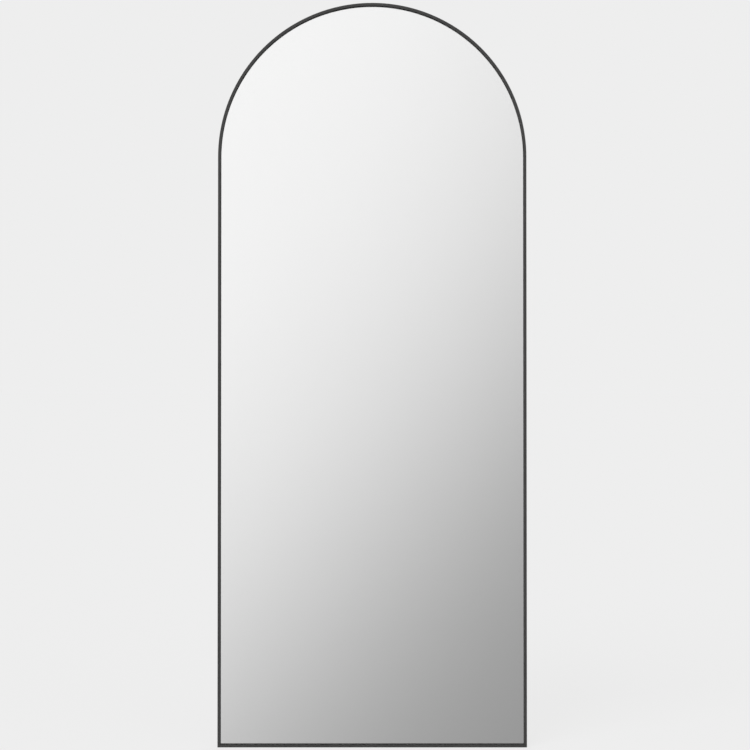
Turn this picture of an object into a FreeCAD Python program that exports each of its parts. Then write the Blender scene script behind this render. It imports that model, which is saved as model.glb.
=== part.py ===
"""Full-length arched mirror in a slim powder-coated frame, hung from two hinged rings or leant on a wall.

The mirror stands upright with its face towards -Y. X runs across it, Z up, and the origin is
the middle of its foot: centred in X and Y, with the underside of the bottom rail at Z = 0.
Depths are counted from the front edge of the frame towards the wall, and distances across
the frame's section are counted inwards from its outer face.
"""

import FreeCAD, Part
import math
import os

import Sketcher

V = FreeCAD.Vector

# Driving dimensions in millimetres. Each is one cell of the sheet.
SIZES = {
    # outline
    "overall_width": 705.0,
    "overall_height": 1700.0,
    # frame section: outer wall, front lip, web behind the panel and a slot open to the rear
    "frame_depth": 30.0,
    "face_width": 6.5,
    "lip_thickness": 3.0,
    "wall_thickness": 2.0,
    "section_width": 14.0,
    "web_thickness": 1.5,
    "slot_return": 2.5,
    "edge_radius": 0.6,
    # layers held between the lip and the web, front to rear
    "lip_tape_thickness": 0.5,
    "lip_tape_width": 2.2,
    "lip_tape_setback": 0.5,
    "glass_thickness": 5.0,
    "glass_arris": 0.8,
    "silver_thickness": 0.1,
    "film_thickness": 0.2,
    "bonding_tape_thickness": 1.2,
    "bonding_tape_width": 25.0,
    "bonding_tape_pitch": 150.0,
    "bonding_tape_end_gap": 100.0,
    "panel_thickness": 9.0,
    "edge_clearance": 1.0,
    # rubber blocks under and beside the glass
    "block_length": 60.0,
    "block_spacing": 440.0,
    "spacer_length": 40.0,
    # flat steel keys in the corner slots, with their grub screws
    "key_leg_length": 60.0,
    "key_thickness": 3.0,
    "key_side_clearance": 0.25,
    "grub_diameter": 5.0,
    "grub_socket": 2.5,
    "grub_socket_depth": 3.0,
    "grub_near": 24.0,
    "grub_far": 48.0,
    "thread_clearance": 0.1,
    # screws through the web into the panel
    "panel_screw_diameter": 3.0,
    "panel_screw_head": 5.2,
    "panel_screw_head_height": 1.8,
    "panel_screw_grip": 7.0,
    "panel_screw_foot_spacing": 330.0,
    # strap hangers and their rings
    "hanger_spacing": 400.0,
    "hanger_drop": 410.0,
    "ring_wire": 3.0,
    "ring_width": 23.0,
    "ring_corner_radius": 3.0,
    "ring_side": 7.5,
    "ring_clearance": 0.1,
    "strap_thickness": 1.2,
    "strap_width": 14.0,
    "strap_screw_pitch": 10.0,
    "strap_screw_diameter": 3.5,
    "strap_screw_head": 7.0,
    "strap_screw_head_height": 2.4,
    "strap_screw_grip": 7.0,
    "strap_screw_gap": 2.0,
    "strap_end_margin": 6.0,
    # keyhole plate near the crown, for a screw that stops the mirror tipping
    "keyhole_drop": 140.0,
    "keyhole_plate_width": 46.0,
    "keyhole_plate_height": 26.0,
    "keyhole_plate_thickness": 1.5,
    "keyhole_entry": 9.0,
    "keyhole_slot": 4.5,
    "keyhole_travel": 8.0,
    "keyhole_screw_spacing": 34.0,
    "keyhole_relief_margin": 2.0,
    "keyhole_relief_depth": 6.0,
    # rubber bumpers on the rear of the frame
    "bumper_diameter": 12.0,
    "bumper_thickness": 2.0,
    "bumper_edge_radius": 0.8,
    "bumper_end_gap": 100.0,
    # cross recesses in the screw heads
    "recess_width": 0.9,
    "recess_depth": 1.0,
}

CURL_OPEN_ANGLE = 60  # degrees of a strap's loop left open, next to its plate
ARCH_SCREW_ANGLES = (45, 90, 135)  # degrees round the arch from its right-hand spring
JAMB_SCREW_SHARES = (1 / 6, 1 / 2, 5 / 6)  # of the height at which the arch springs
SPACER_SHARES = (1 / 4, 3 / 4)  # of the same height
MITRE_MARGIN = 5  # how far a mitre's cut runs past the section, in millimetres
BONDING_TAPES = 4  # side by side, a pitch apart
STRAP_SCREWS = 3  # in each strap, one below the other
HEAD_ROUNDING_SHARE = 0.6  # of a pan head's height
STRAP_CORNER_SHARE = 0.25  # of the strap's width
PLATE_CORNER_SHARE = 0.125  # of the keyhole plate's height
SAME_PLACE = 1e-4  # millimetres within which two points count as level

# Formulas over the sheet's cells
ZERO = "0"
HALF_WIDTH = "(Sizes.overall_width / 2)"
SPRING_HEIGHT = "(Sizes.overall_height - Sizes.overall_width / 2)"
GLASS_INSET = "(Sizes.wall_thickness + Sizes.edge_clearance)"
SLOT_CENTRE = "((Sizes.wall_thickness + Sizes.section_width - Sizes.web_thickness) / 2)"
HANGER_HEIGHT = "(Sizes.overall_height - Sizes.hanger_drop)"
KEYHOLE_HEIGHT = "(Sizes.overall_height - Sizes.keyhole_drop)"
KEYHOLE_TOP = f"({KEYHOLE_HEIGHT} + Sizes.keyhole_travel)"

# Depths at which each layer starts
GLASS_FRONT = "(Sizes.lip_thickness + Sizes.lip_tape_thickness)"
SILVER_FRONT = f"({GLASS_FRONT} + Sizes.glass_thickness)"
FILM_FRONT = f"({SILVER_FRONT} + Sizes.silver_thickness)"
BONDING_FRONT = f"({FILM_FRONT} + Sizes.film_thickness)"
PANEL_FRONT = f"({BONDING_FRONT} + Sizes.bonding_tape_thickness)"
WEB_FRONT = f"({PANEL_FRONT} + Sizes.panel_thickness)"
WEB_REAR = f"({WEB_FRONT} + Sizes.web_thickness)"
SLOT_REAR = "(Sizes.frame_depth - Sizes.web_thickness)"

# Strap hanger: the loop's radii, and the ring's reach below its pivot
LOOP_INNER = "(Sizes.ring_wire / 2 + Sizes.ring_clearance)"
LOOP_OUTER = f"({LOOP_INNER} + Sizes.strap_thickness)"
RING_REACH = "(Sizes.ring_side + Sizes.ring_width / 2 + Sizes.ring_wire / 2)"
FIRST_STRAP_SCREW = f"({RING_REACH} + Sizes.strap_screw_gap + Sizes.strap_screw_head / 2)"
LAST_STRAP_SCREW = f"({FIRST_STRAP_SCREW} + {STRAP_SCREWS - 1} * Sizes.strap_screw_pitch)"
STRAP_LENGTH = f"({LAST_STRAP_SCREW} + Sizes.strap_end_margin)"
STRAP_SCREW_HOLE = "(Sizes.strap_screw_diameter + 4 * Sizes.thread_clearance)"

doc = FreeCAD.newDocument("ArchedMirror")
sheet = doc.addObject("Spreadsheet::Sheet", "Sizes")


def fill_sheet():
    """Writes one row for each driving dimension: its name, its value and the alias that formulas use."""
    for row, (name, value) in enumerate(SIZES.items(), start=1):
        sheet.set(f"A{row}", name)
        sheet.set(f"B{row}", str(value))
        sheet.setAlias(f"B{row}", name)
    doc.recompute()


def at_depth(depth):
    """Formula for the Y of a depth behind the frame's front edge."""
    return f"({depth} - (Sizes.frame_depth + Sizes.bumper_thickness) / 2)"


def inward(distance, side=-1):
    """Formula for the X of a distance inwards from the outer face of the left (-1) or right (1) jamb."""
    return f"({side} * ({HALF_WIDTH} - {distance}))"


# Sketching. The coordinates that geometry is drawn with are rough: its constraints give the true ones.

def new_body(label):
    body = doc.addObject("PartDesign::Body", label)
    body.Label = label
    return body


def group_body(label):
    """A body that may hold several separate solids, for identical small pieces."""
    body = new_body(label)
    body.AllowCompound = True
    return body


def origin_plane(body, role):
    return next(f for f in body.Origin.OriginFeatures if f.Role == role)


def new_sketch(body, role, offset=None):
    """A sketch on one of the body's own origin planes, moved along the plane's normal by a formula."""
    sketch = body.newObject("Sketcher::SketchObject", "Sketch")
    sketch.AttachmentSupport = [(origin_plane(body, role), "")]
    sketch.MapMode = "FlatFace"
    if offset is not None:
        sketch.setExpression("AttachmentOffset.Base.z", offset)
    return sketch


def bind(sketch, name, constraint, formula):
    """Adds a dimension to the sketch under a name of its own and ties it to the sheet."""
    index = sketch.addConstraint(constraint)
    sketch.renameConstraint(index, name)
    sketch.setExpression(f"Constraints.{name}", formula)


def place_point(sketch, geometry, point, x, y):
    """Ties one point of the sketch to its coordinates."""
    tag = f"{geometry}_{point}"
    bind(sketch, f"x{tag}", Sketcher.Constraint("DistanceX", geometry, point, 1.0), x)
    bind(sketch, f"y{tag}", Sketcher.Constraint("DistanceY", geometry, point, 1.0), y)


def draw_line(sketch, start, end):
    return sketch.addGeometry(Part.LineSegment(V(*start, 0), V(*end, 0)))


def draw_arc(sketch, x, y, radius, start, end):
    circle = Part.Circle(V(x, y, 0), V(0, 0, 1), radius)
    return sketch.addGeometry(Part.ArcOfCircle(circle, start, end))


def join_ends(sketch, kind, joints):
    """Joins ends by Coincident or Tangent. A joint is (line or arc, its end, line or arc, its end)."""
    for joint in joints:
        sketch.addConstraint(Sketcher.Constraint(kind, *joint))


def close_loop(sketch, sides):
    """Joins each side's last end to the first end of the next, all the way round."""
    join_ends(sketch, "Coincident", [(a, 2, b, 1) for a, b in zip(sides, sides[1:] + sides[:1])])


def make_half_round(sketch, arc):
    """Keeps both ends of an arc level with its centre."""
    for end in (1, 2):
        sketch.addConstraint(Sketcher.Constraint("Horizontal", arc, end, arc, 3))


def draw_polygon(sketch, corners):
    """A closed outline of straight lines. Each corner is an (x, y) pair of formulas."""
    turns = [2 * math.pi * i / len(corners) for i in range(len(corners))]
    rough = [(math.cos(turn), math.sin(turn)) for turn in turns]
    sides = [draw_line(sketch, start, end) for start, end in zip(rough, rough[1:] + rough[:1])]
    close_loop(sketch, sides)
    for side, (x, y) in zip(sides, corners):
        place_point(sketch, side, 1, x, y)


def draw_rectangle(sketch, x, y, width, height):
    """A rectangle centred on (x, y)."""
    left, right = f"{x} - {width} / 2", f"{x} + {width} / 2"
    low, high = f"{y} - {height} / 2", f"{y} + {height} / 2"
    draw_polygon(sketch, [(left, low), (right, low), (right, high), (left, high)])


def draw_circle(sketch, x, y, diameter):
    index = sketch.addGeometry(Part.Circle(V(0, 0, 0), V(0, 0, 1), 1.0))
    place_point(sketch, index, 3, x, y)
    bind(sketch, f"d{index}", Sketcher.Constraint("Diameter", index, 2.0), diameter)


def draw_slot(sketch, x, low, high, width):
    """An upright slot with round ends, whose end centres are at the heights low and high."""
    radius, rise = 2.0, 9.0
    top = draw_arc(sketch, 0, rise, radius, 0, math.pi)
    left = draw_line(sketch, (-radius, rise), (-radius, 0))
    foot = draw_arc(sketch, 0, 0, radius, math.pi, 2 * math.pi)
    right = draw_line(sketch, (radius, 0), (radius, rise))
    close_loop(sketch, [top, left, foot, right])
    make_half_round(sketch, top)
    make_half_round(sketch, foot)
    sketch.addConstraint(Sketcher.Constraint("Vertical", left))
    sketch.addConstraint(Sketcher.Constraint("Vertical", right))
    bind(sketch, f"r{top}", Sketcher.Constraint("Radius", top, radius), f"{width} / 2")
    place_point(sketch, top, 3, x, high)
    bind(sketch, f"y{foot}", Sketcher.Constraint("DistanceY", foot, 3, 0.0), low)


def draw_arch(sketch, inset):
    """The mirror's outline, inset from the frame's outer face: flat foot, two sides, half-round top."""
    radius = SIZES["overall_width"] / 2
    spring = SIZES["overall_height"] - radius
    arc = draw_arc(sketch, 0, spring, radius, 0, math.pi)
    left = draw_line(sketch, (-radius, spring), (-radius, 0))
    foot = draw_line(sketch, (-radius, 0), (radius, 0))
    right = draw_line(sketch, (radius, 0), (radius, spring))
    close_loop(sketch, [arc, left, foot, right])
    sketch.addConstraint(Sketcher.Constraint("Vertical", left))
    sketch.addConstraint(Sketcher.Constraint("Vertical", right))
    sketch.addConstraint(Sketcher.Constraint("Horizontal", foot))
    make_half_round(sketch, arc)
    place_point(sketch, arc, 3, ZERO, SPRING_HEIGHT)
    bind(sketch, f"r{arc}", Sketcher.Constraint("Radius", arc, radius), f"{HALF_WIDTH} - {inset}")
    bind(sketch, f"foot{foot}", Sketcher.Constraint("DistanceY", foot, 1, 1.0), inset)


def draw_pane(sketch):
    """The outline that the glass, its layers and the panel share."""
    draw_arch(sketch, GLASS_INSET)


# Solid features. A front-view sketch looks along +Y, so a pad is reversed to grow towards the wall.

def add_layer(body, front, thickness, draw):
    """Adds a layer from one depth towards the wall. draw fills its sketch, which is a front view."""
    sketch = new_sketch(body, "XZ_Plane", f"-{at_depth(front)}")
    draw(sketch)
    pad = body.newObject("PartDesign::Pad", "Layer")
    pad.Profile = sketch
    pad.Reversed = True
    pad.setExpression("Length", thickness)
    doc.recompute()


def cut_layer(body, front, thickness, draw):
    """Removes a layer from one depth towards the wall, in the same way."""
    cut(body, new_sketch(body, "XZ_Plane", f"-{at_depth(front)}"), thickness, draw)


def cut(body, sketch, thickness, draw):
    """Fills a sketch and cuts it into its body, which has to lose some of its volume."""
    before = body.Shape.Volume
    draw(sketch)
    pocket = body.newObject("PartDesign::Pocket", "Cut")
    pocket.Profile = sketch
    pocket.setExpression("Length", thickness)
    doc.recompute()
    if body.Shape.Volume >= before:
        raise RuntimeError(f"a cut in {body.Label} removed nothing")


def mirror_feature(body, feature, label):
    """Repeats a feature on the other side of the mirror's middle plane."""
    mirrored = body.newObject("PartDesign::Mirrored", label)
    mirrored.Originals = [feature]
    mirrored.MirrorPlane = (origin_plane(body, "YZ_Plane"), [""])
    body.Tip = mirrored
    doc.recompute()


def dress_edges(body, kind, size, wanted):
    """Rounds (Fillet) or bevels (Chamfer) the edges of the body's tip that wanted() accepts."""
    tip = body.Tip
    names = [f"Edge{i}" for i, edge in enumerate(tip.Shape.Edges, start=1) if wanted(edge)]
    if not names:
        raise RuntimeError(f"{body.Label} has no edge to dress")
    feature = body.newObject(f"PartDesign::{kind}", "Dressed")
    feature.Base = (tip, names)
    feature.setExpression("Radius" if kind == "Fillet" else "Size", size)
    doc.recompute()


def y_of_depth(depth):
    return depth - (SIZES["frame_depth"] + SIZES["bumper_thickness"]) / 2


def inset_of(point):
    """How far inside the frame's outer face a point lies, on the jambs and the arch."""
    radius = SIZES["overall_width"] / 2
    above = point.z - (SIZES["overall_height"] - radius)
    return radius - (abs(point.x) if above <= 0 else math.hypot(point.x, above))


def same(a, b):
    return abs(a - b) < SAME_PLACE


def edge_points(edge):
    first, last = edge.FirstParameter, edge.LastParameter
    return [edge.valueAt(first + (last - first) * share) for share in (0.0, 0.3, 0.7, 1.0)]


def lies_at(y):
    """A test for edges that lie wholly at one Y."""
    return lambda edge: all(same(p.y, y) for p in edge_points(edge))


def runs_rearward(edge):
    points = edge_points(edge)
    return not same(points[0].y, points[-1].y)


# Frame

def section_corners(across, depth):
    """Corners of the rail's section. across and depth turn a formula into the sketch's two coordinates."""
    lip, face, wall = "Sizes.lip_thickness", "Sizes.face_width", "Sizes.wall_thickness"
    inner, rear = "Sizes.section_width", "Sizes.frame_depth"
    inner_skin = f"({inner} - Sizes.web_thickness)"
    inner_return = f"({inner_skin} - Sizes.slot_return)"
    outer_return = f"({wall} + Sizes.slot_return)"
    outline = [
        (ZERO, ZERO), (face, ZERO), (face, lip), (wall, lip),
        (wall, WEB_FRONT), (inner, WEB_FRONT), (inner, rear), (inner_return, rear),
        (inner_return, SLOT_REAR), (inner_skin, SLOT_REAR), (inner_skin, WEB_REAR), (wall, WEB_REAR),
        (wall, SLOT_REAR), (outer_return, SLOT_REAR), (outer_return, rear), (ZERO, rear),
    ]
    return [(across(u), depth(v)) for u, v in outline]


def mitre_corners(side, drop):
    """Triangle beside the 45 degree line through a lower corner: under it, or above it with drop False."""
    reach = f"(Sizes.section_width + {MITRE_MARGIN})"
    corner = (inward(ZERO, side), ZERO)
    far = (inward(reach, side), reach)
    third = (inward(reach, side), corner[1]) if drop else (corner[0], reach)
    return [corner, far, third]


def panel_screw_places():
    """(x, z) formulas of the screws through the web: up both jambs, then round the arch."""
    places = []
    for side in (-1, 1):
        for share in JAMB_SCREW_SHARES:
            places.append((inward(SLOT_CENTRE, side), f"{share} * {SPRING_HEIGHT}"))
    for angle in ARCH_SCREW_ANGLES:
        radius = f"({HALF_WIDTH} - {SLOT_CENTRE})"
        places.append((f"{radius} * cos({angle})", f"{SPRING_HEIGHT} + {radius} * sin({angle})"))
    return places


def foot_screw_places():
    return [(f"{side} * Sizes.panel_screw_foot_spacing / 2", SLOT_CENTRE) for side in (-1, 1)]


def round_front_edges(body, is_outline):
    """Softens the frame's two front edges: the outer corner and the lip's inner corner."""
    in_front = lies_at(y_of_depth(0))
    dress_edges(body, "Fillet", "Sizes.edge_radius",
                lambda edge: in_front(edge) and is_outline(edge_points(edge)))


def drill_web(body, places):
    """Clearance holes through the web for the panel screws."""
    def holes(sketch):
        for x, z in places:
            draw_circle(sketch, x, z, "Sizes.panel_screw_diameter + 2 * Sizes.thread_clearance")
    cut_layer(body, WEB_FRONT, "Sizes.web_thickness", holes)


def build_arched_rail():
    """One length of section bent into both jambs and the arch."""
    body = new_body("arched_frame_rail")

    foot = new_sketch(body, "XY_Plane")
    draw_polygon(foot, section_corners(inward, at_depth))
    jamb = body.newObject("PartDesign::Pad", "Jamb")
    jamb.Profile = foot
    jamb.setExpression("Length", SPRING_HEIGHT)
    doc.recompute()

    spring = new_sketch(body, "XY_Plane", SPRING_HEIGHT)
    draw_polygon(spring, section_corners(inward, at_depth))
    arch = body.newObject("PartDesign::Revolution", "Arch")
    arch.Profile = spring
    arch.ReferenceAxis = (spring, ["V_Axis"])
    arch.Angle = 180
    doc.recompute()
    mirror_feature(body, jamb, "OtherJamb")

    def along_outline(points):
        insets = [inset_of(p) for p in points]
        return any(all(same(i, wanted) for i in insets) for wanted in (0, SIZES["face_width"]))

    round_front_edges(body, along_outline)

    def mitres(sketch):
        for side in (-1, 1):
            draw_polygon(sketch, mitre_corners(side, drop=True))
    cut_layer(body, ZERO, "Sizes.frame_depth", mitres)
    drill_web(body, panel_screw_places())
    return body


def build_bottom_rail():
    """Straight length of the same section, mitred to the jambs. The mirror stands on its outer face."""
    body = new_body("bottom_frame_rail")
    section = new_sketch(body, "YZ_Plane")
    corners = section_corners(lambda u: u, at_depth)
    draw_polygon(section, [(v, u) for u, v in corners])
    rail = body.newObject("PartDesign::Pad", "Rail")
    rail.Profile = section
    rail.SideType = "Symmetric"
    rail.setExpression("Length", "Sizes.overall_width")
    doc.recompute()

    def along_rail(points):
        level = points[0].z
        return all(same(p.z, level) for p in points) and (same(level, 0) or same(level, SIZES["face_width"]))

    round_front_edges(body, along_rail)

    def mitres(sketch):
        for side in (-1, 1):
            draw_polygon(sketch, mitre_corners(side, drop=False))
    cut_layer(body, ZERO, "Sizes.frame_depth", mitres)
    drill_web(body, foot_screw_places())
    return body


# Corner keys and their grub screws

def grub_places(side):
    """(x, z) formulas of one corner's four grub screws: two up the jamb, two along the bottom rail."""
    places = []
    for along in ("Sizes.grub_near", "Sizes.grub_far"):
        places.append((inward(SLOT_CENTRE, side), along))
        places.append((inward(along, side), SLOT_CENTRE))
    return places


def build_corner_key(label, side):
    """Flat L-shaped plate that joins a jamb to the bottom rail inside the slot."""
    body = new_body(label)
    near = "(Sizes.wall_thickness + Sizes.key_side_clearance)"
    inner = "(Sizes.section_width - Sizes.web_thickness - Sizes.key_side_clearance)"
    end = f"({near} + Sizes.key_leg_length)"
    outline = [(near, near), (end, near), (end, inner), (inner, inner), (inner, end), (near, end)]
    front = f"({SLOT_REAR} - Sizes.key_thickness)"
    add_layer(body, front, "Sizes.key_thickness",
              lambda sketch: draw_polygon(sketch, [(inward(u, side), w) for u, w in outline]))

    def threads(sketch):
        for x, z in grub_places(side):
            draw_circle(sketch, x, z, "Sizes.grub_diameter + 2 * Sizes.thread_clearance")
    cut_layer(body, front, "Sizes.key_thickness", threads)
    return body


def build_grub_screws():
    """Headless screws that jam the keys against the slot's returns: their tips press on the web."""
    body = group_body("corner_grub_screws")
    places = grub_places(-1) + grub_places(1)
    length = f"({SLOT_REAR} - {WEB_REAR})"

    def shanks(sketch):
        for x, z in places:
            draw_circle(sketch, x, z, "Sizes.grub_diameter")
    add_layer(body, WEB_REAR, length, shanks)

    def sockets(sketch):
        across_corners = "(Sizes.grub_socket / cos(30) / 2)"
        for x, z in places:
            draw_polygon(sketch, [
                (f"{x} + {across_corners} * cos({60 * i})", f"{z} + {across_corners} * sin({60 * i})")
                for i in range(6)
            ])
    cut_layer(body, f"({SLOT_REAR} - Sizes.grub_socket_depth)", "Sizes.grub_socket_depth", sockets)
    return body


# Mirror layers

def build_lip_tape():
    """Black foam tape between the lip and the glass, all the way round."""
    body = new_body("lip_tape")
    inner = "(Sizes.face_width - Sizes.lip_tape_setback)"

    def band(sketch):
        draw_arch(sketch, f"({inner} - Sizes.lip_tape_width)")
        draw_arch(sketch, inner)
    add_layer(body, "Sizes.lip_thickness", "Sizes.lip_tape_thickness", band)
    return body


def build_glass():
    """Float glass pane with its sharp edges ground off."""
    body = new_body("mirror_glass")
    add_layer(body, GLASS_FRONT, "Sizes.glass_thickness", draw_pane)
    front = y_of_depth(SIZES["lip_thickness"] + SIZES["lip_tape_thickness"])
    dress_edges(body, "Chamfer", "Sizes.glass_arris", lies_at(front))
    return body


def build_sheet(label, front, thickness):
    """One of the thin layers on the glass's back, cut to the pane's own outline."""
    body = new_body(label)
    add_layer(body, front, thickness, draw_pane)
    return body


def build_bonding_tapes():
    """Upright strips of double-sided foam tape that hold the glass to the panel."""
    body = group_body("bonding_tapes")
    length = f"({SPRING_HEIGHT} - 2 * Sizes.bonding_tape_end_gap)"

    def strips(sketch):
        for step in range(BONDING_TAPES):
            place = step - (BONDING_TAPES - 1) / 2
            draw_rectangle(sketch, f"{place} * Sizes.bonding_tape_pitch", f"{SPRING_HEIGHT} / 2",
                           "Sizes.bonding_tape_width", length)
    add_layer(body, BONDING_FRONT, "Sizes.bonding_tape_thickness", strips)
    return body


def build_setting_blocks():
    """Two rubber blocks on the bottom rail that carry the weight of the glass."""
    body = group_body("glass_setting_blocks")
    height = "Sizes.wall_thickness + Sizes.edge_clearance / 2"

    def blocks(sketch):
        for side in (-1, 1):
            draw_rectangle(sketch, f"{side} * Sizes.block_spacing / 2", height,
                           "Sizes.block_length", "Sizes.edge_clearance")
    add_layer(body, GLASS_FRONT, "Sizes.glass_thickness", blocks)
    return body


def build_side_spacers():
    """Four rubber strips that centre the glass between the jambs."""
    body = group_body("glass_side_spacers")

    def spacers(sketch):
        for side in (-1, 1):
            for share in SPACER_SHARES:
                draw_rectangle(sketch, inward("(Sizes.wall_thickness + Sizes.edge_clearance / 2)", side),
                               f"{share} * {SPRING_HEIGHT}", "Sizes.edge_clearance", "Sizes.spacer_length")
    add_layer(body, GLASS_FRONT, "Sizes.glass_thickness", spacers)
    return body


# Rear panel and what is screwed to it

def strap_screw_places():
    places = []
    for side in (-1, 1):
        for step in range(STRAP_SCREWS):
            places.append((f"{side} * Sizes.hanger_spacing / 2",
                           f"{HANGER_HEIGHT} - {FIRST_STRAP_SCREW} - {step} * Sizes.strap_screw_pitch"))
    return places


def keyhole_screw_places():
    return [(f"{side} * Sizes.keyhole_screw_spacing / 2", KEYHOLE_HEIGHT) for side in (-1, 1)]


def build_panel():
    """Fibreboard panel behind the glass, with pilot holes for its screws and a relief behind the keyhole."""
    body = new_body("back_panel")
    add_layer(body, PANEL_FRONT, "Sizes.panel_thickness", draw_pane)

    def drill_pilots(screw, places):
        def holes(sketch):
            for x, z in places:
                draw_circle(sketch, x, z, f"Sizes.{screw}_diameter + 2 * Sizes.thread_clearance")
        cut_layer(body, f"({WEB_FRONT} - Sizes.{screw}_grip)", f"Sizes.{screw}_grip", holes)

    drill_pilots("panel_screw", panel_screw_places() + foot_screw_places())
    drill_pilots("strap_screw", strap_screw_places() + keyhole_screw_places())

    def relief(sketch):
        width = "(Sizes.keyhole_entry + 2 * Sizes.keyhole_relief_margin)"
        draw_slot(sketch, ZERO, KEYHOLE_HEIGHT, KEYHOLE_TOP, width)
    cut_layer(body, f"({WEB_FRONT} - Sizes.keyhole_relief_depth)", "Sizes.keyhole_relief_depth", relief)
    return body


def build_pan_screws(label, screw, places, fixed):
    """Round-headed screws with a cross recess, driven through what they fix into the panel.

    screw is what the names of its sizes in the sheet start with. fixed is the thickness between
    the panel and the heads.
    """
    body = group_body(label)
    head, head_height = f"Sizes.{screw}_head", f"Sizes.{screw}_head_height"
    seat = f"({WEB_FRONT} + {fixed})"
    shank = f"(Sizes.{screw}_grip + {fixed})"

    def circles(size):
        def draw(sketch):
            for x, z in places:
                draw_circle(sketch, x, z, size)
        return draw

    add_layer(body, f"({seat} - {shank})", shank, circles(f"Sizes.{screw}_diameter"))
    add_layer(body, seat, head_height, circles(head))
    rear = max(v.Y for v in body.Tip.Shape.Vertexes)
    dress_edges(body, "Fillet", f"{HEAD_ROUNDING_SHARE} * {head_height}", lies_at(rear))
    for width, height in (("Sizes.recess_width", f"{head} / 2"), (f"{head} / 2", "Sizes.recess_width")):
        def bars(sketch):
            for x, z in places:
                draw_rectangle(sketch, x, z, width, height)
        cut_layer(body, f"({seat} + {head_height} - Sizes.recess_depth)", "Sizes.recess_depth", bars)
    return body


def build_hanger_strap(label, side):
    """Steel strip curled round the ring's bar, with three screw holes below. Its own origin is the pivot."""
    body = new_body(label)
    outer, inner, low_end = 1.0, 0.5, -9.0
    opening = math.radians(180 + CURL_OPEN_ANGLE)
    profile = new_sketch(body, "YZ_Plane")
    curl_outer, curl_inner = (draw_arc(profile, 0, 0, radius, opening - 2 * math.pi, math.pi)
                              for radius in (outer, inner))
    tip_x, tip_y = math.cos(opening), math.sin(opening)
    tip = draw_line(profile, (outer * tip_x, outer * tip_y), (inner * tip_x, inner * tip_y))
    back = draw_line(profile, (-outer, 0), (-outer, low_end))
    end = draw_line(profile, (-outer, low_end), (-inner, low_end))
    face = draw_line(profile, (-inner, low_end), (-inner, 0))
    join_ends(profile, "Coincident", (
        (curl_outer, 1, tip, 1), (tip, 2, curl_inner, 1), (curl_inner, 2, face, 2),
        (face, 1, end, 2), (end, 1, back, 2), (back, 1, curl_outer, 2),
    ))
    for curl, radius in ((curl_outer, LOOP_OUTER), (curl_inner, LOOP_INNER)):
        profile.addConstraint(Sketcher.Constraint("Coincident", curl, 3, -1, 1))
        profile.addConstraint(Sketcher.Constraint("PointOnObject", curl, 2, -1))
        bind(profile, f"r{curl}", Sketcher.Constraint("Radius", curl, 1.0), radius)
        bind(profile, f"open{curl}", Sketcher.Constraint("DistanceX", curl, 1, -0.3),
             f"-{radius} * cos({CURL_OPEN_ANGLE})")
    profile.addConstraint(Sketcher.Constraint("Vertical", back))
    profile.addConstraint(Sketcher.Constraint("Vertical", face))
    profile.addConstraint(Sketcher.Constraint("Horizontal", end))
    bind(profile, "length", Sketcher.Constraint("DistanceY", end, 1, low_end), f"-{STRAP_LENGTH}")

    strip = body.newObject("PartDesign::Pad", "Strip")
    strip.Profile = profile
    strip.SideType = "Symmetric"
    strip.setExpression("Length", "Sizes.strap_width")
    doc.recompute()

    def holes(sketch):
        for step in range(STRAP_SCREWS):
            height = f"-{FIRST_STRAP_SCREW} - {step} * Sizes.strap_screw_pitch"
            draw_circle(sketch, ZERO, height, STRAP_SCREW_HOLE)
    cut(body, new_sketch(body, "XZ_Plane", LOOP_OUTER), "Sizes.strap_thickness", holes)

    foot = min(v.Z for v in body.Tip.Shape.Vertexes)
    dress_edges(body, "Fillet", f"{STRAP_CORNER_SHARE} * Sizes.strap_width",
                lambda edge: runs_rearward(edge) and all(same(p.z, foot) for p in edge_points(edge)))
    hang(body, side)
    return body


def hang(body, side):
    """Puts a hanger's own origin, its pivot, at its place behind the panel."""
    body.setExpression("Placement.Base.x", f"{side} * Sizes.hanger_spacing / 2")
    body.setExpression("Placement.Base.y", f"{at_depth(WEB_FRONT)} + {LOOP_OUTER}")
    body.setExpression("Placement.Base.z", HANGER_HEIGHT)
    doc.recompute()


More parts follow.
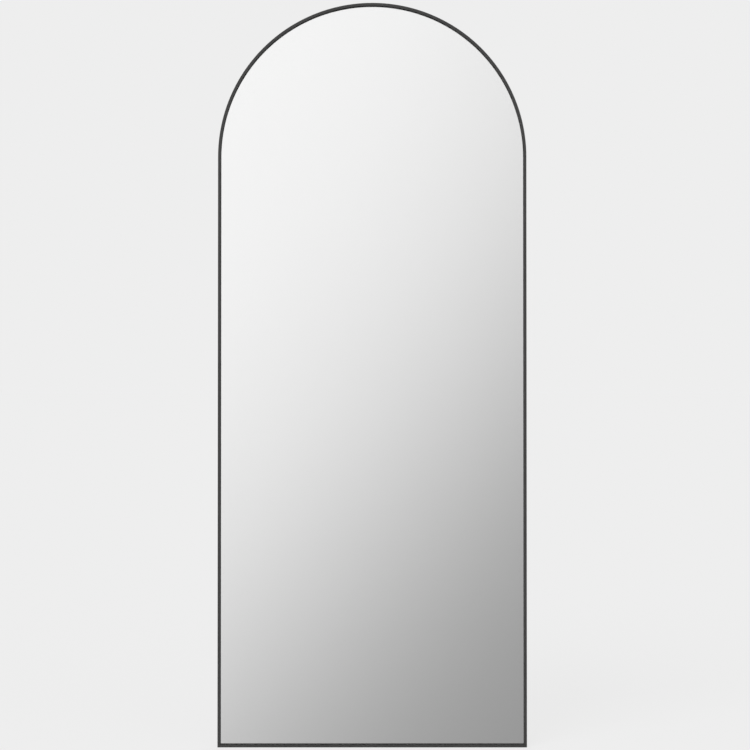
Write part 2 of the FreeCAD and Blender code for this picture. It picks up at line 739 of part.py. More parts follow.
def build_hanger_ring(label, side):
    """D-shaped wire ring, hanging down from its straight bar. Its own origin is the pivot."""
    body = new_body(label)
    corner, drop, half = SIZES["ring_corner_radius"], SIZES["ring_side"], SIZES["ring_width"] / 2
    bar = half - corner
    path = new_sketch(body, "XZ_Plane")
    top = draw_line(path, (0, 0), (bar, 0))
    bend = draw_arc(path, bar, -corner, corner, 0, math.pi / 2)
    side_line = draw_line(path, (half, -corner), (half, -drop))
    bow = draw_arc(path, 0, -drop, half, 1.5 * math.pi, 2 * math.pi)
    join_ends(path, "Tangent", ((top, 2, bend, 2), (bend, 1, side_line, 1), (side_line, 2, bow, 2)))
    path.addConstraint(Sketcher.Constraint("Coincident", top, 1, -1, 1))
    path.addConstraint(Sketcher.Constraint("Horizontal", top))
    path.addConstraint(Sketcher.Constraint("Vertical", side_line))
    path.addConstraint(Sketcher.Constraint("PointOnObject", bow, 3, -2))
    path.addConstraint(Sketcher.Constraint("PointOnObject", bow, 1, -2))
    bind(path, "corner", Sketcher.Constraint("Radius", bend, corner), "Sizes.ring_corner_radius")
    bind(path, "bow", Sketcher.Constraint("Radius", bow, half), "Sizes.ring_width / 2")
    bind(path, "drop", Sketcher.Constraint("DistanceY", bow, 3, -drop), "-Sizes.ring_side")

    wire = new_sketch(body, "YZ_Plane")
    wire.addGeometry(Part.Circle(V(0, 0, 0), V(0, 0, 1), 1.0))
    wire.addConstraint(Sketcher.Constraint("Coincident", 0, 3, -1, 1))
    bind(wire, "wire", Sketcher.Constraint("Diameter", 0, 2.0), "Sizes.ring_wire")
    doc.recompute()
    pipe = body.newObject("PartDesign::AdditivePipe", "HalfRing")
    pipe.Profile = wire
    pipe.Spine = (path, [f"Edge{i + 1}" for i in range(path.GeometryCount)])
    doc.recompute()
    mirror_feature(body, pipe, "OtherHalf")
    hang(body, side)
    return body


def build_keyhole_plate():
    """Steel plate near the crown: a wall screw's head enters the round hole and slides up the slot."""
    body = new_body("keyhole_plate")
    thickness = "Sizes.keyhole_plate_thickness"

    def blank(sketch):
        draw_rectangle(sketch, ZERO, f"({KEYHOLE_HEIGHT} + Sizes.keyhole_travel / 2)",
                       "Sizes.keyhole_plate_width", "Sizes.keyhole_plate_height")
    add_layer(body, WEB_FRONT, thickness, blank)
    dress_edges(body, "Fillet", f"{PLATE_CORNER_SHARE} * Sizes.keyhole_plate_height", runs_rearward)

    def round_holes(sketch):
        draw_circle(sketch, ZERO, KEYHOLE_HEIGHT, "Sizes.keyhole_entry")
        for x, z in keyhole_screw_places():
            draw_circle(sketch, x, z, STRAP_SCREW_HOLE)
    cut_layer(body, WEB_FRONT, thickness, round_holes)

    def slot(sketch):
        draw_slot(sketch, ZERO, KEYHOLE_HEIGHT, KEYHOLE_TOP, "Sizes.keyhole_slot")
    cut_layer(body, WEB_FRONT, thickness, slot)
    return body


def build_bumpers():
    """Four rubber buttons on the rear of the jambs, which keep the frame off the wall."""
    body = group_body("wall_bumpers")

    def buttons(sketch):
        for side in (-1, 1):
            for height in ("Sizes.bumper_end_gap", f"{SPRING_HEIGHT} - Sizes.bumper_end_gap"):
                draw_circle(sketch, inward(SLOT_CENTRE, side), height, "Sizes.bumper_diameter")
    add_layer(body, "Sizes.frame_depth", "Sizes.bumper_thickness", buttons)
    rear = max(v.Y for v in body.Tip.Shape.Vertexes)
    dress_edges(body, "Fillet", "Sizes.bumper_edge_radius", lies_at(rear))
    return body


def build_all():
    return [
        build_arched_rail(),
        build_bottom_rail(),
        build_corner_key("corner_key_left", -1),
        build_corner_key("corner_key_right", 1),
        build_grub_screws(),
        build_lip_tape(),
        build_glass(),
        build_sheet("silver_coating", SILVER_FRONT, "Sizes.silver_thickness"),
        build_sheet("safety_film", FILM_FRONT, "Sizes.film_thickness"),
        build_bonding_tapes(),
        build_setting_blocks(),
        build_side_spacers(),
        build_panel(),
        build_pan_screws("panel_screws", "panel_screw", panel_screw_places() + foot_screw_places(),
                         "Sizes.web_thickness"),
        build_hanger_strap("hanger_strap_left", -1),
        build_hanger_strap("hanger_strap_right", 1),
        build_hanger_ring("hanger_ring_left", -1),
        build_hanger_ring("hanger_ring_right", 1),
        build_pan_screws("hanger_screws", "strap_screw", strap_screw_places(), "Sizes.strap_thickness"),
        build_keyhole_plate(),
        build_pan_screws("keyhole_plate_screws", "strap_screw", keyhole_screw_places(),
                         "Sizes.keyhole_plate_thickness"),
        build_bumpers(),
    ]


def check_document():
    """Stops if any object of the document failed to compute, or a sketch can still move."""
    for item in doc.Objects:
        if "Invalid" in item.State or "Error" in item.State:
            raise RuntimeError(f"{item.Label} is {item.State}")
        if item.TypeId == "Sketcher::SketchObject" and not item.FullyConstrained:
            raise RuntimeError(f"{item.Label} is not fully constrained")


def export(bodies):
    """Writes each piece to parts/, once its shape is known to be sound."""
    os.makedirs("parts", exist_ok=True)
    for body in bodies:
        if body.Shape.isNull() or not body.Shape.isValid():
            raise RuntimeError(f"{body.Label} has no valid shape")
        print(f"{body.Label}: {len(body.Shape.Solids)} solids, {body.Shape.Volume / 1000:.2f} cm3")
        body.Shape.exportStep(f"parts/{body.Label}.step")


fill_sheet()
made = build_all()
doc.recompute()
check_document()
export(made)
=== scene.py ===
"""Looks of an arched full-length mirror in a slim black frame, standing in a pale studio.

Lengths are metres in the part's own frame: X across the mirror, Z up, and its face towards -Y.
"""

import math

import bmesh
import bpy
from bmesh.types import BMFace, BMVert
from mathutils import Matrix, Vector


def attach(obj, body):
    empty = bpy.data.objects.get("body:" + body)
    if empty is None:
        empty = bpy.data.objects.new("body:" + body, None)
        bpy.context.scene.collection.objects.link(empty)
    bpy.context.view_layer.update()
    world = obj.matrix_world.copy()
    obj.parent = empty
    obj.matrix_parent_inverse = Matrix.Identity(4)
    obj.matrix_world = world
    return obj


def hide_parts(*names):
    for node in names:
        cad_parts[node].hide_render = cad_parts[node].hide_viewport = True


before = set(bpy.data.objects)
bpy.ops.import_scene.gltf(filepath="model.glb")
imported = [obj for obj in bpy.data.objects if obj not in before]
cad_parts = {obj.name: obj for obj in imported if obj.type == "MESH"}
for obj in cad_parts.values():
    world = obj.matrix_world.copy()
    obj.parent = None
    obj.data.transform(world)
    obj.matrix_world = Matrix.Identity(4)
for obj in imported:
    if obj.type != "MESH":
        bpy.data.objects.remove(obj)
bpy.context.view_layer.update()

# The frame's outline and section, as in the solids
HALF_WIDTH = 0.3525
HEIGHT = 1.7
SPRING_HEIGHT = HEIGHT - HALF_WIDTH
FRAME_FRONT = -0.016
FRAME_DEPTH = 0.030
FACE_WIDTH = 0.0065
LIP_THICKNESS = 0.003
WALL = 0.002
SECTION_WIDTH = 0.014
WEB_FRONT = 0.019
SHEET = 0.0015
SLOT_RETURN = 0.0025
SLOT_CENTRE = (WALL + SECTION_WIDTH - SHEET) / 2  # from the outer face to the middle of the slot
FRONT_ROUNDING = 0.0006
SMALL_ROUNDING = 0.00025
ROUNDING_STEPS = 4
ARCH_STEPS = 120
JOINT_GROOVE = 0.00015  # half the width of the hairline between the two rails
MITRE_SETBACK = JOINT_GROOVE * math.sqrt(2)  # what the groove takes off each rail, measured along it
SAME_PLANE = 0.000001  # a point this near to a plane lies in it

# Layers behind the lip
GLASS_INSET = 0.003
GLASS_FRONT = -0.0125
GLASS_THICKNESS = 0.005
GLASS_ARRIS = 0.0008
TAPE_THICKNESS = 0.0005
TAPE_WIDTH = 0.0022
TAPE_SETBACK = 0.0005
SILVER_THICKNESS = 0.0001
CONTACT = 0.00002  # how far a layer presses into the glass, so that no two faces share a plane

# Rubber buttons behind the jambs
BUMPER_RADIUS = 0.006
BUMPER_SIDES = 48
BUMPER_THICKNESS = 0.002
BUMPER_DRAFT = 0.0003
BUMPER_EDGE = 0.0007
BUMPER_RIM = 0.0017
BUMPER_DISH = 0.0003
BUMPER_END_GAP = 0.1

# Broken edges of the pressed metal pieces
MERGE_DISTANCE = 0.000002
STRIP_ROUNDING = 0.00018
KEY_ROUNDING = 0.0003
BROKEN_EDGE_STEPS = 2

# Angles between two faces, in degrees
FLAT_ANGLE = 0.5  # up to this they are one face of a pressed piece
SMOOTH_ANGLE = 35  # up to this they shade as one
SHARP_ANGLE = 40  # above this their edge is broken

# Studio. Levels are linear.
BACKGROUND = 0.855  # the photograph's pale ground
SKY_LEVEL = 0.55
FLOOR_ALBEDO = 0.68
FLOOR_SPECKLE = 0.01
FLOOR_OWN_SHARE = 0.11  # how much of the floor's own shading the camera sees
FLOOR_REACH = 400.0
FLOOR_CELLS = 8  # along each side

# What reflections see of the studio. A step is the middle and the width of a smooth change of level.
LIGHT_DIRECTION = (-0.6824, -0.5, 0.5332)  # towards the heart of the large soft light
CORE_STEP = (0.4367, 0.11)
CORE_LEVEL = 0.504
EDGE_STEP = (0.4964, 0.15)
EDGE_LEVEL = 0.2072
UNLIT_LEVEL = 0.2764  # in front, away from that light
HORIZON_STEP = (0.0, 0.3)
REAR_STEP = (0.3, 0.25)
REAR_LEVEL = 0.08
REAR_GAIN = 0.68  # what the rear gains from below the horizon to above it
RIGHT_STEP = (0.6, 0.12)
RIGHT_LEVEL = 0.16
RIGHT_GAIN = 0.4  # the same at the right
FLOOR_STEP = (-0.75, 0.2)
FLOOR_LEVEL = 0.4

# Lamps: azimuth and elevation in degrees, level, and softness in degrees
LAMPS = {
    "key": (-35, 45, 0.55, 35),
    "fill": (40, 25, 0.20, 60),
    "back": (160, 40, 0.35, 50),
}
LAMP_DISTANCE = 4

# Camera: level with the mirror's middle, a little low and looking slightly up
CAMERA_DISTANCE = 3.4
CAMERA_DROP = 0.034  # below the point that it looks at
AIM_ASIDE = 0.00635  # right of the mirror's middle
AIM_BELOW_MIDDLE = 0.0018
SENSOR_WIDTH = 36.0  # millimetres
FOCAL_LENGTH = 71.5  # millimetres


# Meshes

def pick(kind, geom):
    """The vertices or the faces among what an operator returns."""
    return [item for item in geom if isinstance(item, kind)]


def faces_at_height(bm, height):
    """The faces that lie wholly at one height."""
    return [face for face in bm.faces if all(abs(vert.co.z - height) < SAME_PLANE for vert in face.verts)]


def bevel(bm, geom, size, steps, affect="EDGES", clamp=False):
    """Rounds edges or corners, or cuts them flat where steps is 1. The new faces keep their material."""
    bmesh.ops.bevel(bm, geom=geom, offset=size, affect=affect, segments=steps, profile=0.5, material=-1,
                    clamp_overlap=clamp)


def finish_piece(bm, name, node, material):
    """Turns a bmesh into a piece that stands for one CAD node and rides on the mirror."""
    bmesh.ops.recalc_face_normals(bm, faces=bm.faces)
    mesh = bpy.data.meshes.new(name)
    bm.to_mesh(mesh)
    bm.free()
    mesh.shade_smooth()
    mesh.set_sharp_from_angle(angle=math.radians(SMOOTH_ANGLE))
    mesh.materials.append(material)
    piece = bpy.data.objects.new(name, mesh)
    bpy.context.scene.collection.objects.link(piece)
    shading = piece.modifiers.new("flat faces stay flat", "WEIGHTED_NORMAL")
    shading.keep_sharp = True
    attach(piece, "mirror")
    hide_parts(node)


def section_face(bm, place):
    """The rail's section as one face with rounded corners. place turns (inward, depth) into a point."""
    lip, web, rear = LIP_THICKNESS, WEB_FRONT, FRAME_DEPTH
    inner_skin = SECTION_WIDTH - SHEET
    inner_return, outer_return = inner_skin - SLOT_RETURN, WALL + SLOT_RETURN
    slot_front, slot_rear = web + SHEET, rear - SHEET
    outline = [
        (0, 0), (FACE_WIDTH, 0), (FACE_WIDTH, lip), (WALL, lip),
        (WALL, web), (SECTION_WIDTH, web), (SECTION_WIDTH, rear), (inner_return, rear),
        (inner_return, slot_rear), (inner_skin, slot_rear), (inner_skin, slot_front), (WALL, slot_front),
        (WALL, slot_rear), (outer_return, slot_rear), (outer_return, rear), (0, rear),
    ]
    corners = [bm.verts.new(place(inward, depth)) for inward, depth in outline]
    bm.faces.new(corners)
    for group, rounding in ((corners[2:], SMALL_ROUNDING), (corners[:2], FRONT_ROUNDING)):
        bevel(bm, group, rounding, ROUNDING_STEPS, affect="VERTICES")
    return next(iter(bm.faces))


def extrude_to(bm, face, move):
    """Draws a face out to a new one, moved as a whole."""
    made = bmesh.ops.extrude_face_region(bm, geom=[face])["geom"]
    bmesh.ops.translate(bm, vec=move, verts=pick(BMVert, made))
    return pick(BMFace, made)[0]


def sweep_arch(bm, start):
    """Sweeps a face or a point round the arch, and returns the one that it ends in."""
    swept = bmesh.ops.spin(bm, geom=[start], cent=(0, 0, SPRING_HEIGHT), axis=(0, 1, 0), dvec=(0, 0, 0),
                           angle=math.pi, steps=ARCH_STEPS, use_duplicate=False)
    return pick(type(start), swept["geom_last"])[0]


def jamb_mitre(side):
    """Matrix that raises a jamb's section by its distance inwards, which cuts its foot at 45 degrees."""
    matrix = Matrix.Identity(4)
    matrix[2][0] = -side
    matrix[2][3] = HALF_WIDTH + MITRE_SETBACK
    return matrix


def foot_mitre(side):
    """Matrix that draws the bottom rail's section in by its height, which cuts its end at 45 degrees."""
    matrix = Matrix.Identity(4)
    matrix[0][2] = -side
    matrix[0][3] = -side * MITRE_SETBACK
    return matrix


def mitre_ends(bm, ends, mitre):
    """Cuts both ends of a rail by the matrix of their side, and sets their rims back for the groove."""
    for end in ends:
        side = 1 if end.calc_center_median().x > 0 else -1
        bmesh.ops.transform(bm, matrix=mitre(side), verts=end.verts)
        bmesh.ops.inset_region(bm, faces=[end], thickness=JOINT_GROOVE, depth=JOINT_GROOVE,
                               use_even_offset=True)


def make_arched_rail(material):
    """Both jambs and the half-round arch as one drawn section, mitred at its feet."""
    bm = bmesh.new()
    foot = section_face(bm, lambda inward, depth: (inward - HALF_WIDTH, FRAME_FRONT + depth, 0))
    spring = extrude_to(bm, foot, (0, 0, SPRING_HEIGHT))
    extrude_to(bm, sweep_arch(bm, spring), (0, 0, -SPRING_HEIGHT))
    inner_caps = faces_at_height(bm, SPRING_HEIGHT)
    bmesh.ops.delete(bm, geom=inner_caps, context="FACES_ONLY")
    bmesh.ops.recalc_face_normals(bm, faces=bm.faces)
    mitre_ends(bm, faces_at_height(bm, 0), jamb_mitre)
    finish_piece(bm, "arched_rail", "arched_frame_rail", material)


def make_bottom_rail(material):
    """Straight rail under the glass, mitred at both ends."""
    bm = bmesh.new()
    start = section_face(bm, lambda inward, depth: (-HALF_WIDTH, FRAME_FRONT + depth, inward))
    extrude_to(bm, start, (2 * HALF_WIDTH, 0, 0))
    bmesh.ops.recalc_face_normals(bm, faces=bm.faces)
    mitre_ends(bm, [face for face in bm.faces if round(abs(face.normal.x)) == 1], foot_mitre)
    finish_piece(bm, "bottom_rail", "bottom_frame_rail", material)


def arch_sheet(bm, inset, y):
    """A flat face with the mirror's outline, a distance inside the frame's outer face."""
    start = bm.verts.new((inset - HALF_WIDTH, y, SPRING_HEIGHT))
    feet = []
    for spring in (start, sweep_arch(bm, start)):
        made = bmesh.ops.extrude_vert_indiv(bm, verts=[spring])["verts"]
        bmesh.ops.translate(bm, vec=(0, 0, inset - SPRING_HEIGHT), verts=made)
        feet += made
    bm.edges.new(feet)
    return bmesh.ops.contextual_create(bm, geom=bm.edges[:])["faces"][0]


def make_silvering(material):
    """The reflective layer, a thin sheet with the outline of the glass."""
    bm = bmesh.new()
    front = GLASS_FRONT + GLASS_THICKNESS - CONTACT
    extrude_to(bm, arch_sheet(bm, GLASS_INSET, front), (0, SILVER_THICKNESS + CONTACT, 0))
    finish_piece(bm, "silvering", "silver_coating", material)


def make_glass(material):
    """Float glass pane whose front edge is ground to a narrow bevel."""
    bm = bmesh.new()
    front = arch_sheet(bm, GLASS_INSET, GLASS_FRONT)
    rim = front.edges[:]
    extrude_to(bm, front, (0, GLASS_THICKNESS, 0))
    bevel(bm, rim, GLASS_ARRIS, steps=1)
    finish_piece(bm, "glass_pane", "mirror_glass", material)


def make_lip_tape(material):
    """Foam tape all the way round, between the lip and the glass."""
    bm = bmesh.new()
    outer = FACE_WIDTH - TAPE_SETBACK - TAPE_WIDTH
    sheet = arch_sheet(bm, outer, GLASS_FRONT - TAPE_THICKNESS)
    band = bmesh.ops.inset_region(bm, faces=[sheet], thickness=TAPE_WIDTH, use_boundary=True,
                                  use_even_offset=True)["faces"]
    bmesh.ops.delete(bm, geom=[sheet], context="FACES")
    made = bmesh.ops.extrude_face_region(bm, geom=band)["geom"]
    bmesh.ops.translate(bm, vec=(0, TAPE_THICKNESS + CONTACT, 0), verts=pick(BMVert, made))
    finish_piece(bm, "glazing_tape", "lip_tape", material)


def add_bumper(bm, x, z):
    """One moulded button: drafted sides, a rounded rim and a shallow dish in its top."""
    middle = FRAME_FRONT + FRAME_DEPTH + BUMPER_THICKNESS / 2
    place = Matrix.Translation((x, middle, z)) @ Matrix.Rotation(-math.pi / 2, 4, "X")
    made = bmesh.ops.create_cone(bm, cap_ends=True, segments=BUMPER_SIDES, radius1=BUMPER_RADIUS,
                                 radius2=BUMPER_RADIUS - BUMPER_DRAFT, depth=BUMPER_THICKNESS, matrix=place)
    faces = {face for vert in made["verts"] for face in vert.link_faces}
    top = max(faces, key=lambda face: face.calc_center_median().y)
    rim = top.edges[:]
    bmesh.ops.inset_region(bm, faces=[top], thickness=BUMPER_RIM)
    bmesh.ops.inset_region(bm, faces=[top], thickness=2 * BUMPER_DISH, depth=-BUMPER_DISH)
    bevel(bm, rim, BUMPER_EDGE, ROUNDING_STEPS)


def make_bumpers(material):
    """Four rubber buttons on the back of the jambs."""
    bm = bmesh.new()
    across = HALF_WIDTH - SLOT_CENTRE
    for x in (-across, across):
        for z in (BUMPER_END_GAP, SPRING_HEIGHT - BUMPER_END_GAP):
            add_bumper(bm, x, z)
    finish_piece(bm, "bumper_buttons", "wall_bumpers", material)


def break_edges(node, name, material, rounding):
    """A copy of a pressed metal piece whose sharp edges are rounded, as tumbling leaves them."""
    bm = bmesh.new()
    bm.from_mesh(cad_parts[node].data)
    bmesh.ops.remove_doubles(bm, verts=bm.verts, dist=MERGE_DISTANCE)
    bmesh.ops.dissolve_limit(bm, angle_limit=math.radians(FLAT_ANGLE), verts=bm.verts, edges=bm.edges)
    shared = [edge for edge in bm.edges if len(edge.link_faces) == 2]
    sharp = [edge for edge in shared if edge.calc_face_angle() > math.radians(SHARP_ANGLE)]
    bevel(bm, sharp, rounding, BROKEN_EDGE_STEPS, clamp=True)
    finish_piece(bm, name, node, material)


# Materials

class Wire:
    """An output of a shader node. Sums of wires and numbers add Math nodes."""

    def __init__(self, shading, socket):
        self.shading = shading
        self.socket = socket

    def maths(self, operation, first, second):
        return self.shading.node("Math", {"operation": operation}, {0: first, 1: second})

    def __add__(self, other):
        return self.maths("ADD", self, other)

    def __sub__(self, other):
        return self.maths("SUBTRACT", self, other)

    def __rsub__(self, other):
        return self.maths("SUBTRACT", other, self)

    def __mul__(self, other):
        return self.maths("MULTIPLY", self, other)

    def or_(self, other):
        return self.maths("MAXIMUM", self, other)

    def tanh(self):
        return self.shading.node("Math", {"operation": "TANH"}, {0: self})

    __radd__ = __add__
    __rmul__ = __mul__


class Shading:
    """A material's or the world's node tree while it is being filled."""

    def __init__(self, owner):
        owner.use_nodes = True
        self.owner = owner
        self.tree = owner.node_tree
        self.tree.nodes.clear()

    def node(self, kind, settings=None, inputs=None, output=0):
        """Adds one node, sets it up and fills its sockets with values or wires. Returns one output."""
        made = self.tree.nodes.new("ShaderNode" + kind)
        for name, value in (settings or {}).items():
            setattr(made, name, value)
        for name, value in (inputs or {}).items():
            socket = made.inputs[name]
            if isinstance(value, Wire):
                self.tree.links.new(value.socket, socket)
            else:
                socket.default_value = value
        return Wire(self, made.outputs[output]) if made.outputs else None

    def place(self, scale=(1, 1, 1), turn=(0, 0, 0)):
        """Object coordinates, scaled and turned for a pattern."""
        raw = self.node("TexCoord", output="Object")
        return self.node("Mapping", {}, {"Vector": raw, "Scale": scale, "Rotation": turn})

    def noise(self, scale, detail=2.0, roughness=0.5, place=None):
        return self.node("TexNoise", {}, {"Vector": place or self.place(), "Scale": scale, "Detail": detail,
                                          "Roughness": roughness})

    def spread(self, value, low, high):
        """Stretches the middle of a noise to 0..1."""
        return self.node("MapRange", {}, {"Value": value, "From Min": low, "From Max": high})

    def blend(self, share, first, second):
        """Mixes two colours."""
        return self.node("Mix", {"data_type": "RGBA"}, {0: share, 6: first, 7: second}, output=2)

    def bump(self, height, distance, strength):
        return self.node("Bump", {}, {"Height": height, "Distance": distance, "Strength": strength})

    def surface(self, inputs):
        """Ends a material in a Principled shader."""
        shader = self.node("BsdfPrincipled", {}, inputs)
        self.node("OutputMaterial", {}, {"Surface": shader})
        return self.owner


def new_shading(name):
    return Shading(bpy.data.materials.new(name))


def grey(level):
    return (level, level, level, 1.0)


def powder_coat():
    """Satin black polyester powder: fine orange peel, a faint change of tone and sheen."""
    look = new_shading("black powder coat")
    drift = look.spread(look.noise(7.0, 3.0), 0.35, 0.65)
    peel = look.noise(620.0, 2.0, 0.45)
    grain = look.noise(2400.0, 2.0, 0.6)
    return look.surface({
        "Base Color": look.blend(drift, (0.032, 0.0316, 0.031, 1), (0.039, 0.0386, 0.038, 1)),
        "Roughness": 0.50 + 0.06 * drift + 0.10 * grain,
        "Specular IOR Level": 0.42,
        "Normal": look.bump(0.5 * peel + 0.5 * grain, 0.00012, 1.0),
    })


def silver():
    """Chemical silvering behind the glass: almost perfectly smooth."""
    look = new_shading("silvering")
    drift = look.spread(look.noise(3.0, 2.0), 0.3, 0.7)
    return look.surface({
        "Base Color": look.blend(drift, (0.957, 0.956, 0.955, 1), (0.964, 0.963, 0.962, 1)),
        "Metallic": 1.0,
        "Roughness": 0.004 * drift,
    })


def float_glass():
    """Clear float glass with the faintest wiping marks."""
    look = new_shading("float glass")
    wiped = look.spread(look.noise(5.0, 4.0, 0.6, look.place((1, 1, 0.35), (0, 0.6, 0))), 0.5, 0.75)
    return look.surface({
        "Base Color": (0.993, 0.9945, 0.9945, 1),
        "Roughness": 0.004 * wiped,
        "Transmission Weight": 1.0,
        "IOR": 1.52,
    })


def film():
    """Milky safety film on the silvering's paint."""
    look = new_shading("safety film")
    cloud = look.noise(40.0, 4.0)
    return look.surface({
        "Base Color": look.blend(cloud, (0.50, 0.55, 0.57, 1), (0.60, 0.64, 0.65, 1)),
        "Roughness": 0.25 + 0.1 * cloud,
    })


def foam():
    """Closed-cell foam: tiny pits, dull black, with painted shade in the pits."""
    look = new_shading("foam")
    cells = look.node("TexVoronoi", {"feature": "F1"}, {"Vector": look.place(), "Scale": 2400.0})
    return look.surface({
        # The pits are also painted darker towards their bottoms: painted shade on top of the bump.
        "Base Color": look.blend(cells, (0.010, 0.010, 0.011, 1), (0.028, 0.028, 0.029, 1)),
        "Roughness": 0.92,
        "Normal": look.bump(cells, 0.0001, 0.6),
    })


def rubber():
    """Moulded rubber with a fine matt grain."""
    look = new_shading("rubber")
    grain = look.noise(1500.0, 3.0, 0.6)
    drift = look.noise(60.0)
    return look.surface({
        "Base Color": look.blend(drift, (0.018, 0.018, 0.018, 1), (0.036, 0.035, 0.034, 1)),
        "Roughness": 0.72 + 0.12 * grain,
        "Normal": look.bump(grain, 0.00008, 0.5),
    })


def felt(look, patch, scale, length):
    """Short fibres that lie another way in each small patch, for a board pressed from loose fibres."""
    patches = look.node("TexVoronoi", {"feature": "F1"}, {"Vector": look.place(), "Scale": patch},
                        output="Color")
    way = look.node("SeparateColor", {}, {"Color": patches}, output="Red")
    turned = look.node("VectorRotate", {"rotation_type": "Y_AXIS"},
                       {"Vector": look.place(), "Angle": way * (2 * math.pi)})
    stretched = look.node("Mapping", {}, {"Vector": turned, "Scale": (1 / length, 1, 1)})
    return look.noise(scale, 1.0, 0.6, stretched)


def fibreboard():
    """Sanded medium-density fibreboard: felted fibres, a few dark specks and soft clouding."""
    look = new_shading("fibreboard")
    clouds = look.spread(look.noise(8.0, 2.0, 0.6), 0.3, 0.7)
    mottle = look.spread(look.noise(110.0, 2.0, 0.6), 0.35, 0.65)
    coarse = look.spread(felt(look, 330.0, 1100.0, 5.0), 0.3, 0.7)
    fine = look.spread(felt(look, 560.0, 2300.0, 4.0), 0.3, 0.7)
    specks = look.spread(look.noise(900.0, 1.0, 0.5), 0.74, 0.80)
    board = look.blend(0.45 * clouds + 0.55 * mottle, (0.360, 0.250, 0.155, 1), (0.420, 0.300, 0.192, 1))
    felted = look.blend(0.5 * coarse + 0.35 * fine, board, (0.260, 0.168, 0.098, 1))
    return look.surface({
        "Base Color": look.blend(0.7 * specks, felted, (0.110, 0.066, 0.038, 1)),
        "Roughness": 0.68 + 0.14 * fine,
        "Normal": look.bump(coarse, 0.00006, 0.5),
    })


def plated_steel(name, dark, light, roughness, grain_scale):
    """Plated or blackened steel: rolled grain, faint blotches and small wear in its shine."""
    look = new_shading(name)
    blotches = look.spread(look.noise(260.0, 2.0, 0.6), 0.3, 0.7)
    grain = look.spread(look.noise(grain_scale, 1.0, 0.5, look.place((1, 1, 0.05))), 0.3, 0.7)
    return look.surface({
        "Base Color": look.blend(0.5 * blotches + 0.5 * grain, dark, light),
        "Metallic": 1.0,
        "Roughness": roughness + 0.06 * blotches + 0.10 * grain,
        "Normal": look.bump(grain, 0.00001, 0.5),
    })


def dress_nodes(zinc, foamed, moulded):
    """Gives every CAD node that shows its finish."""
    nickel = plated_steel("nickel-plated wire", (0.60, 0.58, 0.55, 1), (0.70, 0.68, 0.64, 1), 0.14, 2600.0)
    blackened = plated_steel("black oxide steel", (0.045, 0.045, 0.050, 1), (0.085, 0.085, 0.090, 1),
                             0.34, 1500.0)
    finishes = {
        zinc: ("panel_screws", "hanger_screws", "keyhole_plate_screws"),
        nickel: ("hanger_ring_left", "hanger_ring_right"),
        blackened: ("corner_grub_screws",),
        foamed: ("bonding_tapes",),
        moulded: ("glass_setting_blocks", "glass_side_spacers"),
        film(): ("safety_film",),
        fibreboard(): ("back_panel",),
    }
    for material, names in finishes.items():
        for name in names:
            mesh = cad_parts[name].data
            mesh.materials.clear()
            mesh.materials.append(material)


# Studio

def step(value, middle, width):
    """Climbs smoothly from 0 to 1 as a value passes the middle."""
    return 0.5 + 0.5 * ((value - middle) * (1 / width)).tanh()


def reflected_studio(look):
    """Brightness of the surroundings by direction, as the mirror and other shiny faces see them.

    A large soft light stands at the upper left in front and a weaker one at the right, over a pale
    floor and before a pale rear.
    """
    direction = look.node("TexCoord", output="Generated")
    near = look.node("VectorMath", {"operation": "DOT_PRODUCT"}, {0: direction, 1: LIGHT_DIRECTION},
                     output="Value")
    sideways, rearward, upward = (
        look.node("SeparateXYZ", {}, {"Vector": direction}, output=axis) for axis in "XYZ"
    )
    front = UNLIT_LEVEL + CORE_LEVEL * step(near, *CORE_STEP) + EDGE_LEVEL * step(near, *EDGE_STEP)
    high = step(upward, *HORIZON_STEP)
    behind = step(rearward, *REAR_STEP)
    rear = behind * (REAR_LEVEL + REAR_GAIN * high)
    right = (1 - behind) * step(sideways, *RIGHT_STEP) * (RIGHT_LEVEL + RIGHT_GAIN * high)
    below = FLOOR_LEVEL * (1 - step(upward, *FLOOR_STEP))
    return front + rear + right + below


def light_world():
    """Pale ground for the camera, graded surroundings for reflections and an even sky for the rest."""
    look = Shading(bpy.data.worlds.new("studio"))
    to_camera, glossy, through_glass = (
        look.node("LightPath", output=f"Is {kind} Ray") for kind in ("Camera", "Glossy", "Transmission")
    )
    lit = look.blend(glossy.or_(through_glass), grey(SKY_LEVEL), reflected_studio(look))
    seen = look.blend(to_camera, lit, grey(BACKGROUND))
    background = look.node("Background", {}, {"Color": seen})
    look.node("OutputWorld", {}, {"Surface": background})
    bpy.context.scene.world = look.owner


def floor_finish():
    """Matt white floor. To the camera it is nearly the pale ground itself, with a little of its own shade."""
    look = new_shading("studio floor")
    dark, light = grey(FLOOR_ALBEDO - FLOOR_SPECKLE), grey(FLOOR_ALBEDO + FLOOR_SPECKLE)
    matt = look.node("BsdfPrincipled", {}, {
        "Base Color": look.blend(look.noise(30.0, 3.0), dark, light),
        "Roughness": 1.0,
        "Specular IOR Level": 0.0,
    })
    ground = look.node("Emission", {}, {"Color": grey(BACKGROUND)})
    camera = look.node("LightPath", output="Is Camera Ray")
    shader = look.node("MixShader", {}, {0: (1 - FLOOR_OWN_SHARE) * camera, 1: matt, 2: ground})
    look.node("OutputMaterial", {}, {"Surface": shader})
    return look.owner


def make_floor():
    bm = bmesh.new()
    bmesh.ops.create_grid(bm, x_segments=FLOOR_CELLS, y_segments=FLOOR_CELLS, size=FLOOR_REACH)
    mesh = bpy.data.meshes.new("studio_floor")
    bm.to_mesh(mesh)
    bm.free()
    mesh.materials.append(floor_finish())
    floor = bpy.data.objects.new("studio_floor", mesh)
    bpy.context.scene.collection.objects.link(floor)
    floor.visible_glossy = False
    floor.visible_transmission = False


def aim(thing, target):
    thing.rotation_euler = (target - thing.location).to_track_quat("-Z", "Y").to_euler()


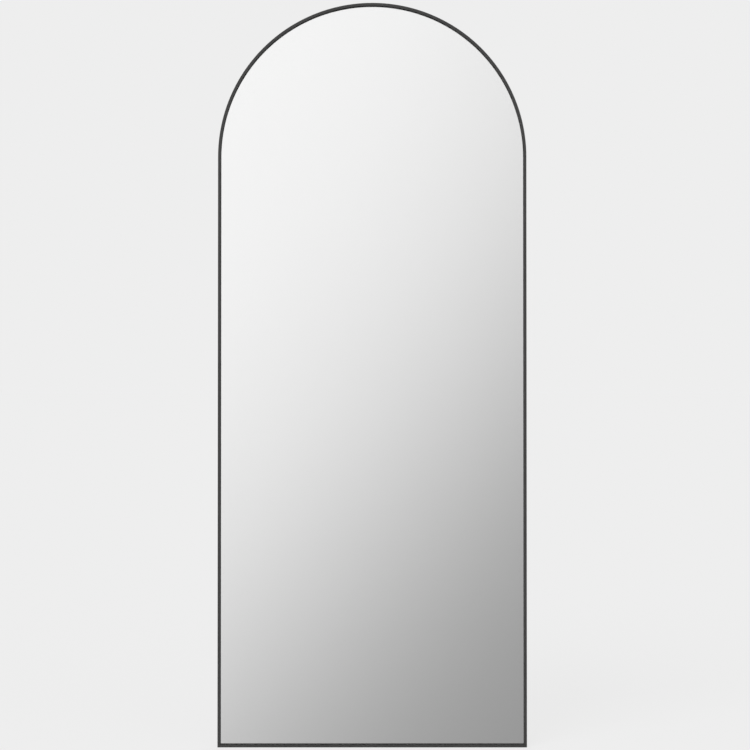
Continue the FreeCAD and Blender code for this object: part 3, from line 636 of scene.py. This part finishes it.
def add_lamp(name, azimuth, elevation, level, softness):
    """A distant soft lamp. Its level is the brightness it gives a white surface that faces it.

    Azimuth 0 shines on the mirror's face from the front, and 90 from its right.
    """
    data = bpy.data.lights.new(name, "SUN")
    data.energy = level * math.pi
    data.angle = math.radians(softness)
    lamp = bpy.data.objects.new(name, data)
    across, height = math.radians(azimuth), math.radians(elevation)
    x, y = math.sin(across) * math.cos(height), -math.cos(across) * math.cos(height)
    lamp.location = LAMP_DISTANCE * Vector((x, y, math.sin(height)))
    bpy.context.scene.collection.objects.link(lamp)
    aim(lamp, Vector((0, 0, 0)))
    lamp.visible_glossy = False
    lamp.visible_transmission = False


def add_camera():
    data = bpy.data.cameras.new("camera")
    data.sensor_width = SENSOR_WIDTH
    data.lens = FOCAL_LENGTH
    camera = bpy.data.objects.new("camera", data)
    target = Vector((AIM_ASIDE, FRAME_FRONT, HEIGHT / 2 - AIM_BELOW_MIDDLE))
    camera.location = target - Vector((0, CAMERA_DISTANCE, CAMERA_DROP))
    bpy.context.scene.collection.objects.link(camera)
    aim(camera, target)
    bpy.context.scene.camera = camera


def build():
    add_camera()
    coat, foamed, moulded = powder_coat(), foam(), rubber()
    zinc = plated_steel("zinc-plated steel", (0.52, 0.53, 0.55, 1), (0.64, 0.65, 0.66, 1), 0.26, 1800.0)
    mill = plated_steel("pressed steel", (0.38, 0.38, 0.38, 1), (0.50, 0.50, 0.49, 1), 0.34, 1200.0)
    make_arched_rail(coat)
    make_bottom_rail(coat)
    make_silvering(silver())
    make_glass(float_glass())
    make_lip_tape(foamed)
    make_bumpers(moulded)
    break_edges("keyhole_plate", "slotted_plate", zinc, STRIP_ROUNDING)
    for side in ("left", "right"):
        break_edges(f"hanger_strap_{side}", f"ring_strap_{side}", zinc, STRIP_ROUNDING)
        break_edges(f"corner_key_{side}", f"mitre_key_{side}", mill, KEY_ROUNDING)
    dress_nodes(zinc, foamed, moulded)
    light_world()
    make_floor()
    for name, (azimuth, elevation, level, softness) in LAMPS.items():
        add_lamp(name, azimuth, elevation, level, softness)
    bpy.context.scene.view_settings.view_transform = "Standard"


build()
